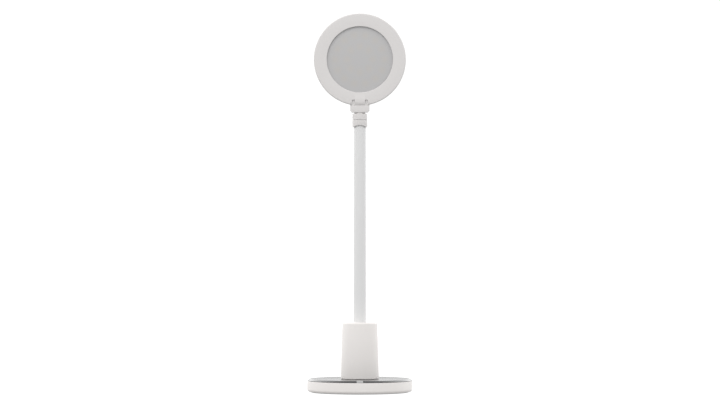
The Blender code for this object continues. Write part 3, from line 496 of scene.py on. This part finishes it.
def foot_rubber():
    """Pale grey silicone with a fine moulded tooth that grips, and dust caught in it."""
    paint = Paint("foot_rubber", 0.8)
    tooth = paint.cells(1500)
    dust = paint.remap(paint.noise(340, 4), 0.55, 0.75, 0.0, 1.0, True)
    paint.colour(paint.blend(dust, (0.52, 0.52, 0.52), (0.62, 0.615, 0.61)))
    paint.bump(tooth, 0.05 * MM, 0.6)
    return paint.material


# ---------------------------------------------------------------- mesh tools


def arc(centre, radius, start, end, count):
    """Points along an arc, with angles in degrees from outwards towards up."""
    angles = [math.radians(start + (end - start) * i / count) for i in range(count + 1)]
    return [(centre[0] + radius * math.cos(a), centre[1] + radius * math.sin(a)) for a in angles]


def filleted(points):
    """The points of a closed outline, with those that carry a third number rounded to that radius."""
    outline = []
    for i, point in enumerate(points):
        here = Vector(point[:2])
        radius = point[2] if len(point) > 2 else 0.0
        if not radius:
            outline.append(here)
            continue
        back = (Vector(points[i - 1][:2]) - here).normalized()
        ahead = (Vector(points[(i + 1) % len(points)][:2]) - here).normalized()
        half = back.angle(ahead) / 2
        centre = here + (back + ahead).normalized() * (radius / math.sin(half))
        start = here + back * (radius / math.tan(half)) - centre
        end = here + ahead * (radius / math.tan(half)) - centre
        sweep = math.pi - 2 * half
        count = max(2, math.ceil(math.degrees(sweep) / 12))
        for k in range(count + 1):
            t = k / count
            spoke = start * math.sin((1 - t) * sweep) + end * math.sin(t * sweep)
            outline.append(centre + spoke / math.sin(sweep))
    return outline


def piece(name, shape, matrix=UP):
    """A mesh object from a bmesh that is closed here, with smooth shading except at edges."""
    bmesh.ops.remove_doubles(shape, verts=shape.verts, dist=1e-7)
    bmesh.ops.recalc_face_normals(shape, faces=shape.faces)
    bmesh.ops.transform(shape, matrix=matrix, verts=shape.verts)
    mesh = bpy.data.meshes.new(name)
    shape.to_mesh(mesh)
    shape.free()
    obj = bpy.data.objects.new(name, mesh)
    bpy.context.scene.collection.objects.link(obj)
    return soften(obj)


def soften(obj, angle=28):
    obj.data.shade_smooth()
    obj.data.set_sharp_from_angle(angle=math.radians(angle))
    return obj


def lathe(name, points, sides=144, centre=ORIGIN, turn=UP):
    """A turned piece from a section of (radius, height, optional rounding)."""
    shape = bmesh.new()
    outline = filleted(points)
    rings = []
    for radius, height in outline:
        if radius < 1e-9:
            rings.append([shape.verts.new((0, 0, height))] * sides)
            continue
        angles = [2 * math.pi * k / sides for k in range(sides)]
        rings.append([shape.verts.new((radius * math.cos(a), radius * math.sin(a), height)) for a in angles])
    for ring, following in zip(rings, rings[1:] + rings[:1]):
        for k in range(sides):
            corners = [ring[k], following[k], following[(k + 1) % sides], ring[(k + 1) % sides]]
            corners = list(dict.fromkeys(corners))
            if len(corners) > 2:
                shape.faces.new(corners)
    return piece(name, shape, Matrix.Translation(centre) @ turn)


def rod(name, radius, low, high, sides=48, centre=ORIGIN, turn=UP):
    shape = bmesh.new()
    middle = Matrix.Translation((0, 0, (low + high) / 2))
    bmesh.ops.create_cone(
        shape, cap_ends=True, segments=sides, radius1=radius, radius2=radius, depth=high - low, matrix=middle
    )
    return piece(name, shape, Matrix.Translation(centre) @ turn)


def block(name, low, high):
    """A box between two corners, for cutting and joining with."""
    low, high = Vector(low), Vector(high)
    shape = bmesh.new()
    matrix = Matrix.Translation((low + high) / 2) @ Matrix.Diagonal((*(high - low), 1))
    bmesh.ops.create_cube(shape, size=1.0, matrix=matrix)
    return piece(name, shape)


def prism(name, points, low, high, turn=UP):
    """A flat outline of (x, y, optional rounding) given thickness from low to high."""
    shape = bmesh.new()
    outline = filleted(points)
    bottom = [shape.verts.new((x, y, low)) for x, y in outline]
    top = [shape.verts.new((x, y, high)) for x, y in outline]
    shape.faces.new(bottom)
    shape.faces.new(top)
    for k in range(len(outline)):
        following = (k + 1) % len(outline)
        shape.faces.new([bottom[k], bottom[following], top[following], top[k]])
    return piece(name, shape, turn)


def carve(obj, operation, *others):
    """Applies a Boolean with each of the others in turn, and removes them."""
    for other in others:
        modifier = obj.modifiers.new("boolean", "BOOLEAN")
        modifier.operation = operation
        modifier.object = other
        graph = bpy.context.evaluated_depsgraph_get()
        mesh = bpy.data.meshes.new_from_object(obj.evaluated_get(graph))
        obj.modifiers.clear()
        obj.data = mesh
        bpy.data.objects.remove(other)
    return soften(obj)


def round_edges(obj, width, segments=3, angle=35):
    """Rounds every edge sharper than the angle, and keeps the result."""
    modifier = obj.modifiers.new("rounding", "BEVEL")
    modifier.width = width
    modifier.segments = segments
    modifier.limit_method = "ANGLE"
    modifier.angle_limit = math.radians(angle)
    modifier.harden_normals = False
    graph = bpy.context.evaluated_depsgraph_get()
    mesh = bpy.data.meshes.new_from_object(obj.evaluated_get(graph))
    obj.modifiers.clear()
    obj.data = mesh
    return soften(obj, 40)


def around(circle, count, first=0.0):
    angles = [math.radians(first + 360 * k / count) for k in range(count)]
    return [Vector((circle * math.cos(a), circle * math.sin(a), 0)) for a in angles]


def finish_piece(obj, body, slot, *nodes, look=None):
    """Gives a piece its material and its body, and hides the CAD nodes that it stands for."""
    obj.data.materials.clear()
    obj.data.materials.append(materials[look or slot])
    if body:
        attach(obj, body)
    if nodes:
        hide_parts(*nodes)
    return obj


# ---------------------------------------------------------------- base


def base_shell():
    inner = BASE_RADIUS - BASE_WALL
    corner = (BASE_RADIUS - BASE_CORNER, COVER_LOW.z + BASE_CORNER)
    sweep = math.degrees(math.acos((inner - corner[0]) / BASE_CORNER))
    recess = SPIGOT_RADIUS + GAP
    section = [
        (recess, RIM_Z, 0.2 * MM),
        (BASE_RADIUS, RIM_Z, 0.35 * MM),
        *arc(corner, BASE_CORNER, 0, -sweep, 10),
        (inner, DECK_BOTTOM, 0.6 * MM),
        (DECK_HOLE, DECK_BOTTOM),
        (DECK_HOLE, DECK_TOP),
        (recess, DECK_TOP),
    ]
    shell = lathe("base_shell_skin", section, 192)
    low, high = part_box("usb_socket")
    round_end = 1.5 * MM
    slot = [
        (low.x - GAP, low.z - GAP, round_end),
        (high.x + GAP, low.z - GAP, round_end),
        (high.x + GAP, high.z + GAP, round_end),
        (low.x - GAP, high.z + GAP, round_end),
    ]
    carve(shell, "DIFFERENCE", prism("mouth", slot, -BASE_RADIUS - 2 * MM, -inner + 2 * MM, FRONT))
    for place in around(BASE_SCREW_CIRCLE, 4, 45):
        boss = rod("boss", 3.2 * MM, COVER_HIGH.z + GAP, DECK_BOTTOM + 0.4 * MM, 32, place)
        carve(shell, "UNION", boss)
        carve(shell, "DIFFERENCE", rod("pilot", 1.5 * MM, 0, DECK_BOTTOM, 24, place))
    finish_piece(shell, "base", "white_shell", "base_shell")


def plate_section(inner):
    edge = RIM_Z + GAP
    return [
        (inner, PLATE_TOP),
        (PLATE_RADIUS - BEVEL_WIDTH, PLATE_TOP, 0.5 * MM),
        (PLATE_RADIUS, edge + PLATE_EDGE, 0.12 * MM),
        (PLATE_RADIUS, edge),
        (SPIGOT_RADIUS, edge),
        (SPIGOT_RADIUS, PLATE_LOW),
        (inner, PLATE_LOW),
    ]


def top_plate():
    plate = lathe("top_plate_skin", plate_section(DECK_HOLE), 192)
    low = (KEY_LOW.x - SNUG, -2 * BASE_RADIUS, 0)
    high = (KEY_HIGH.x + SNUG, KEY_HIGH.y + SNUG, 2 * PLATE_TOP)
    carve(plate, "DIFFERENCE", block("key_slot", low, high))
    finish_piece(plate, "base", "dark_plate", "top_plate")


def touch_key():
    key = lathe("touch_key_skin", plate_section(PLATE_RADIUS - 9 * MM), 192)
    low = (KEY_LOW.x, -2 * BASE_RADIUS, 0)
    high = (KEY_HIGH.x, KEY_HIGH.y, 2 * PLATE_TOP)
    carve(key, "INTERSECT", block("key_bounds", low, high))
    finish_piece(key, "base", "key_lens", "touch_key")


def bottom_cover():
    """The cover, with a shallow panel inside the foot ring and sinks for its four screws."""
    radius = COVER_HIGH.x
    ring_inner = FOOT_RADIUS - FOOT_WIDTH
    groove = FOOT_HEIGHT + GAP
    section = [
        (0, COVER_HIGH.z),
        (radius, COVER_HIGH.z, 0.3 * MM),
        (radius, COVER_LOW.z, 0.4 * MM),
        (FOOT_RADIUS + GAP, COVER_LOW.z, 0.15 * MM),
        (FOOT_RADIUS + GAP, groove),
        (ring_inner - GAP, groove),
        (ring_inner - GAP, COVER_LOW.z, 0.15 * MM),
        (36 * MM, COVER_LOW.z, 0.2 * MM),
        (35.6 * MM, COVER_LOW.z + 0.4 * MM, 0.2 * MM),
        (0, COVER_LOW.z + 0.4 * MM),
    ]
    cover = lathe("bottom_cover_skin", section, 160)
    for place in around(BASE_SCREW_CIRCLE, 4, 45):
        carve(cover, "DIFFERENCE", rod("hole", 1.6 * MM, -MM, 4 * MM, 32, place))
        carve(cover, "DIFFERENCE", rod("sink", 3.2 * MM, -MM, 2.0 * MM, 40, place))
    finish_piece(cover, "base", "white_shell", "base_bottom_cover")


def foot_ring():
    inner = FOOT_RADIUS - FOOT_WIDTH
    section = [
        (FOOT_RADIUS, FOOT_HEIGHT),
        (FOOT_RADIUS, 0, 0.4 * MM),
        (inner, 0, 0.4 * MM),
        (inner, FOOT_HEIGHT),
    ]
    finish_piece(lathe("foot_ring_skin", section, 160), "base", "foot_rubber", "foot_ring")


def pan_screw(name, node, body, radius, height, shank, turn):
    """A cross-recess pan-head screw in place of a CAD screw, whose head is at its box's outer end."""
    low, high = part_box(node)
    middle = (low + high) / 2
    along = turn.to_3x3() @ Vector((0, 0, 1))
    length = (high - low).dot(Vector(map(abs, along)))
    head_end = middle - along * (length / 2)
    section = [
        (0, length),
        (shank * 0.5, length),
        (shank, length - shank * 0.5),
        (shank, height),
        (radius, height, 0.1 * MM),
        (radius, 0, height * 0.7),
        (0, 0),
    ]
    screw = lathe(name, section, 48, head_end, turn)
    wide, deep = radius * 0.62, height * 0.75
    for spin in (20, 110):
        arm = block("arm", (-wide, -0.16 * radius, -MM), (wide, 0.16 * radius, deep))
        spun = Matrix.Rotation(math.radians(spin), 4, "Z")
        arm.data.transform(Matrix.Translation(head_end) @ turn @ spun)
        carve(screw, "DIFFERENCE", arm)
    finish_piece(screw, body, "steel", node)


def base_screws():
    for i in range(1, 5):
        pan_screw(f"base_screw_{i}_skin", f"base_screw_{i}", "base", 2.7 * MM, 0.8 * MM, 1.2 * MM, UP)


# ---------------------------------------------------------------- tower and stem


def tower():
    slope = (TOWER_RADIUS_LOW - TOWER_RADIUS_HIGH) / (TOWER_TOP - TOWER_LOW)
    under = TOWER_TOP - TOWER_WALL
    section = [
        (STUD_HOLE, TOWER_TOP),
        (TOWER_RADIUS_HIGH, TOWER_TOP, TOWER_CORNER),
        (TOWER_RADIUS_LOW, TOWER_LOW, 0.25 * MM),
        (TOWER_RADIUS_LOW - TOWER_WALL, TOWER_LOW),
        (TOWER_RADIUS_HIGH - TOWER_WALL + slope * TOWER_WALL, under, 1.0 * MM),
        (STUD_HOLE, under),
    ]
    shell = lathe("tower_skin", section, 144)
    for place in around(TOWER_SCREW_CIRCLE, 3, 90):
        boss = rod("boss", 3.4 * MM, TOWER_LOW + 0.1 * MM, TOWER_LOW + 18 * MM, 32, place)
        carve(shell, "UNION", boss)
        carve(shell, "DIFFERENCE", rod("pilot", 1.5 * MM, 0, TOWER_LOW + 16 * MM, 24, place))
    finish_piece(shell, "base", "white_shell", "tower_shell")


def sleeve_radius(z):
    share = (z - TOWER_TOP) / (STEM_TOP - TOWER_TOP)
    return SLEEVE_RADIUS_LOW + (SLEEVE_RADIUS_HIGH - SLEEVE_RADIUS_LOW) * share


def sleeves():
    """The sleeve, as one length for each hinge, from one body of the stem to the next."""
    count = len(HINGES)
    pitch = (STEM_TOP - TOWER_TOP) / count
    rows, sides = 28, 56
    for k, hinge in enumerate(HINGES):
        low = TOWER_TOP + pitch * k + (0.05 * MM if k == 0 else 0)
        high = TOWER_TOP + pitch * (k + 1) if k < count - 1 else SLEEVE_TOP - 0.1 * MM
        heights = [low + (high - low) * i / rows for i in range(rows + 1)]
        outside = [(sleeve_radius(z), z) for z in heights]
        inside = [(SLEEVE_INNER, z) for z in reversed(heights)]
        sleeve = lathe(f"sleeve_{k + 1}", outside + inside, sides)
        nodes = [f"neck_sleeve_{k}"] + ([f"neck_sleeve_{k + 1}"] if k == count - 1 else [])
        finish_piece(sleeve, None, "white_sleeve", *nodes)
        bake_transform(sleeve)


# ---------------------------------------------------------------- collar and tilt joint


def collars():
    """The lower collar, arched in front and behind over the sleeve's end, and the one that turns on it."""
    bore = SPINDLE_RADIUS + GAP
    roof = COLLAR_SEAM - 1.4 * MM
    lower = [
        (bore, COLLAR_SEAM),
        (COLLAR_RADIUS, COLLAR_SEAM, 0.18 * MM),
        (COLLAR_RADIUS, STEM_TOP),
        (COLLAR_POCKET, STEM_TOP),
        (COLLAR_POCKET, roof),
        (bore, roof),
    ]
    ring = lathe("collar_lower_skin", lower, 112)
    arch = (COLLAR_RADIUS**2 + COLLAR_ARCH**2) / (2 * COLLAR_ARCH)
    centre = Vector((0, 0, STEM_TOP + COLLAR_ARCH - arch))
    carve(ring, "DIFFERENCE", rod("arch", arch, -2 * COLLAR_RADIUS, 2 * COLLAR_RADIUS, 160, centre, FRONT))
    round_edges(ring, 0.4 * MM, 3, 50)
    finish_piece(ring, "tip", "white_shell", "collar_lower", look="white_head")
    upper = [
        (bore, COLLAR_TOP),
        (COLLAR_RADIUS, COLLAR_TOP, 0.5 * MM),
        (COLLAR_RADIUS, UPPER_COLLAR_LOW, 0.18 * MM),
        (bore, UPPER_COLLAR_LOW),
    ]
    ring = lathe("collar_upper_skin", upper, 112)
    finish_piece(ring, "swivel", "white_shell", "collar_upper", look="white_head")


def fork():
    """The forked arm: a foot hollowed under the head's barrel, two lugs, and the spindle under it."""
    wide, pin = FORK_HALF_WIDTH, Vector((0, 0, PIN_Z))
    soft = 0.5 * MM
    half = [
        (wide - FORK_CHAMFER, FORK_LOW, soft),
        (wide, FORK_LOW + FORK_CHAMFER, soft),
        (wide, PIN_Z),
    ]
    front = half + [(-x, z, *rest) for x, z, *rest in reversed(half)]
    body = prism("fork_skin", front, -2 * FORK_DEPTH, 2 * FORK_DEPTH, FRONT)
    side = [
        (-FORK_DEPTH, FORK_LOW - MM),
        (FORK_DEPTH, FORK_LOW - MM),
        (FORK_DEPTH, FORK_BACK, soft),
        (-MM, FORK_BACK),
        (-MM, FORK_LIP),
        (-FORK_DEPTH, FORK_LIP, soft),
    ]
    carve(body, "INTERSECT", prism("foot", side, -2 * wide, 2 * wide, ACROSS))
    round_edges(body, 0.3 * MM)
    carve(body, "DIFFERENCE", rod("saddle", BARREL_MIDDLE + 2 * SNUG, -2 * wide, 2 * wide, 160, pin, SIDE))
    foot = FORK_LOW + MM
    lug = [(LUG_RADIUS, foot), *arc((0, PIN_Z), LUG_RADIUS, 0, 180, 40), (-LUG_RADIUS, foot)]
    inner, outer = SLOT_INNER + SNUG, SLOT_OUTER - SNUG
    seat = SLOT_INNER + 0.8 * MM
    for low, high, seat_low, seat_high in ((inner, outer, 0, seat), (-outer, -inner, -seat, 0)):
        plate = prism("lug", lug, low, high, ACROSS)
        carve(plate, "DIFFERENCE", rod("seat", WASHER_RADIUS + SNUG, seat_low, seat_high, 64, pin, SIDE))
        carve(body, "UNION", plate)
    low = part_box("tilt_fork")[0].z
    clip_low, clip_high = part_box("swivel_clip")[0].z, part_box("swivel_clip")[1].z
    groove = 3.1 * MM
    spindle = [
        (0, foot),
        (NECK_RADIUS, foot),
        (NECK_RADIUS, COLLAR_TOP + 0.1 * MM, 0.2 * MM),
        (SPINDLE_RADIUS, COLLAR_TOP + 0.1 * MM),
        (SPINDLE_RADIUS, clip_high + GAP),
        (groove, clip_high + GAP),
        (groove, clip_low - GAP),
        (SPINDLE_RADIUS - GAP, clip_low - GAP),
        (SPINDLE_RADIUS - GAP, low),
        (0, low),
    ]
    carve(body, "UNION", lathe("spindle", spindle, 80))
    carve(
        body,
        "DIFFERENCE",
        rod("wire_bore", 1.6 * MM, low - MM, PIN_Z, 24),
        rod("pin_hole", PIN_RADIUS + SNUG, -wide, wide, 40, pin, SIDE),
    )
    finish_piece(body, "swivel", "white_shell", "tilt_fork", look="white_head")


# ---------------------------------------------------------------- head


HEAD_CENTRE = Vector((0, 0, HEAD_Z))


def in_head(place):
    return HEAD_CENTRE + Vector((place.x, -place.z, place.y))


def slot_outline():
    """A lug's room in the head's lower end, in (y, z): straight out behind, and sloping down in front."""
    radius, reach = LUG_RADIUS + GAP, 2 * HEAD_FRONT
    slope = math.radians(SLOT_FORWARD)
    fall = (reach - radius * math.cos(slope)) / math.tan(slope)
    return [
        (-reach, PIN_Z - 2 * reach),
        (reach, PIN_Z - 2 * reach),
        (reach, PIN_Z + radius),
        *arc((0, PIN_Z), radius, 90, 180 - SLOT_FORWARD, 12),
        (-reach, PIN_Z + radius * math.sin(slope) - fall),
    ]


def barrel_outline(radius, front, back):
    """The underside of a barrel about the tilt pin between two depths, in (y, z), from front to back."""
    start, end = (360 - math.degrees(math.acos(max(-1, min(1, y / radius)))) for y in (front, back))
    return arc((0, PIN_Z), radius, start, end, 60)


def knuckle(shell, front, back, reach_front, reach_back, middle_top):
    """Adds one half of the barrel that the tilt pin runs through to a shell, between its front and back.

    Each solid stops a hair inside the one before it, so that no two of their faces lie in one plane.
    """
    wide, pin = FORK_HALF_WIDTH, Vector((0, 0, PIN_Z))
    edge = HEAD_RADIUS - 2 * HAIR
    side = wide + POCKET_WALL
    walls = block("walls", (-side, front + HAIR, 0), (side, back - HAIR, POCKET_TOP))
    outline = [
        (0, HEAD_FRONT),
        (edge, HEAD_FRONT, 1.2 * MM),
        (edge, -HEAD_FRONT, 2.7 * MM),
        (0, -HEAD_FRONT),
    ]
    carve(walls, "INTERSECT", lathe("outline", outline, 240, HEAD_CENTRE, FRONT))
    carve(shell, "UNION", walls)
    room = block("room", (GAP - wide, -4 * HEAD_FRONT, 0), (wide - GAP, 4 * HEAD_FRONT, PIN_Z))
    carve(shell, "DIFFERENCE", room)
    under = barrel_outline(BARREL_RADIUS - HAIR, reach_front + 2 * HAIR, reach_back - 2 * HAIR)
    top = POCKET_TOP - 2 * HAIR
    barrel = prism("barrel", [*under, (under[-1][0], top), (under[0][0], top)], -wide, wide, ACROSS)
    carve(shell, "UNION", barrel)
    under = barrel_outline(BARREL_MIDDLE - HAIR, reach_front + 3 * HAIR, reach_back - 3 * HAIR)
    half = SLOT_INNER + HAIR
    middle = [*under, (under[-1][0], middle_top[-1][1]), *middle_top]
    carve(shell, "UNION", prism("middle", middle, -half, half, ACROSS))
    for low, high in ((-SLOT_OUTER, -SLOT_INNER), (SLOT_INNER, SLOT_OUTER)):
        carve(shell, "DIFFERENCE", prism("slot", slot_outline(), low, high, ACROSS))
    length = PIN_HALF_LENGTH + SNUG
    carve(shell, "DIFFERENCE", rod("pin_bore", PIN_RADIUS + SNUG, -length, length, 40, pin, SIDE))


def bezel():
    face_back = HEAD_FRONT - HEAD_WALL
    well = WINDOW_RADIUS + HEAD_WALL
    section = [
        (WINDOW_RADIUS, HEAD_FRONT, 0.6 * MM),
        (HEAD_RADIUS, HEAD_FRONT, 1.2 * MM),
        (HEAD_RADIUS, BEZEL_PART, 0.15 * MM),
        (HEAD_RADIUS - HEAD_WALL, BEZEL_PART),
        (HEAD_RADIUS - HEAD_WALL, face_back, 0.5 * MM),
        (well, face_back, 0.4 * MM),
        (well, DIFFUSER_FRONT + 0.1 * MM),
        (WINDOW_RADIUS, DIFFUSER_FRONT + 0.1 * MM),
    ]
    ring = lathe("bezel_skin", section, 240, HEAD_CENTRE, FRONT)
    places = [in_head(place) for place in around(HEAD_SCREW_CIRCLE, 4, 45)]
    for place in places:
        low, high = 3.4 * MM - HEAD_FRONT, face_back + 0.9 * MM
        boss = [(0, high), (HEAD_BOSS_RADIUS, high), (HEAD_BOSS_RADIUS, low), (0, low)]
        carve(ring, "UNION", lathe("boss", boss, 31, place, FRONT))
    for place in places:
        bottom, mouth = face_back - 0.5 * MM, 2 * MM - HEAD_FRONT
        pilot = [(0, bottom), (HEAD_PILOT_RADIUS, bottom), (HEAD_PILOT_RADIUS, mouth), (0, mouth)]
        carve(ring, "DIFFERENCE", lathe("pilot", pilot, 23, place, FRONT))
    pad = [(HAIR - HEAD_FRONT, PAD_TOP), (-BARREL_MIDDLE, PAD_TOP - 1.8 * MM)]
    knuckle(ring, 0.2 * MM - HEAD_FRONT, -BEZEL_PART, -2 * HEAD_FRONT, -BEZEL_PART, pad)
    finish_piece(ring, "head", "white_shell", "head_bezel", look="white_head")


def diffuser():
    low = DIFFUSER_FRONT - DIFFUSER_THICKNESS
    section = [
        (0, DIFFUSER_FRONT),
        (DIFFUSER_RADIUS, DIFFUSER_FRONT, 0.3 * MM),
        (DIFFUSER_RADIUS, low, 0.15 * MM),
        (0, low),
    ]
    finish_piece(lathe("diffuser_skin", section, 160, HEAD_CENTRE, FRONT), "head", "opal", "diffuser")


def rear_cover():
    """The domed cover, with a shallow ring step on its back and the barrel's rear half moulded on it."""
    rim = BEZEL_PART - 0.12 * MM
    inner = HEAD_RADIUS - HEAD_WALL
    back = -HEAD_FRONT
    section = [
        (0, back + HEAD_WALL),
        (44 * MM, back + HEAD_WALL + 0.3 * MM, 20 * MM),
        (inner, back + HEAD_WALL + 2.2 * MM, 1.0 * MM),
        (inner, rim),
        (HEAD_RADIUS, rim, 0.15 * MM),
        (HEAD_RADIUS, back + 0.3 * MM, 2.6 * MM),
        (38 * MM, back + HAIR, 0.3 * MM),
        (37.6 * MM, back + 0.35 * MM, 0.3 * MM),
        (36.4 * MM, back + 0.35 * MM, 0.3 * MM),
        (36 * MM, back, 0.3 * MM),
        (0, back),
    ]
    cover = lathe("rear_cover_skin", section, 240, HEAD_CENTRE, FRONT)
    through, floor, out = -3 * MM, back + MM, -9 * MM
    hole = [
        (0, through),
        (HEAD_PILOT_RADIUS, through),
        (HEAD_PILOT_RADIUS, floor),
        (2.5 * MM, floor),
        (2.5 * MM, out),
        (0, out),
    ]
    for place in around(HEAD_SCREW_CIRCLE, 4, 45):
        place = in_head(place)
        carve(cover, "DIFFERENCE", lathe("screw_hole", hole, 36, place, FRONT))
    middle_top = [(MM - rim, PIN_Z + 0.1 * MM)]
    knuckle(cover, -rim, HEAD_FRONT - 0.9 * MM, -rim, 2 * HEAD_FRONT, middle_top)
    finish_piece(cover, "head", "white_shell", "head_rear_cover", look="white_head")


def head_screws():
    for i in range(1, 5):
        pan_screw(f"head_screw_{i}_skin", f"head_screw_{i}", "head", 2.1 * MM, 0.6 * MM, 0.9 * MM, FRONT)


# ---------------------------------------------------------------- assembly

bpy.context.scene.view_settings.view_transform = "Standard"
make_camera()
make_floor()
make_world()
make_lights()

materials = {
    "white_shell": moulded_white("moulded_white", (0.73, 0.703, 0.684), (0.755, 0.728, 0.71)),
    "white_head": moulded_white("moulded_white_head", (0.628, 0.61, 0.602), (0.648, 0.63, 0.622)),
    "white_sleeve": sleeve_silicone(),
    "dark_plate": dark_plate(),
    "key_lens": key_lens(),
    "opal": opal(),
    "white_inner": white_inner(),
    "steel": steel(),
    "brass": brass(),
    "fibre": fibre(),
    "nylon": nylon(),
    "circuit_board": circuit_board(),
    "led_aluminium": led_aluminium(),
    "battery_foil": battery_foil(),
    "copper": copper(),
    "foot_rubber": foot_rubber(),
}

slots = {entry["node"]: entry["material_slot"] for entry in frame["record"]["subparts"]}
for node, obj in frame["nodes"].items():
    obj.data.materials.clear()
    obj.data.materials.append(materials[slots[node]])

base_shell()
top_plate()
touch_key()
bottom_cover()
foot_ring()
base_screws()
tower()
sleeves()
collars()
fork()
bezel()
diffuser()
rear_cover()
head_screws()
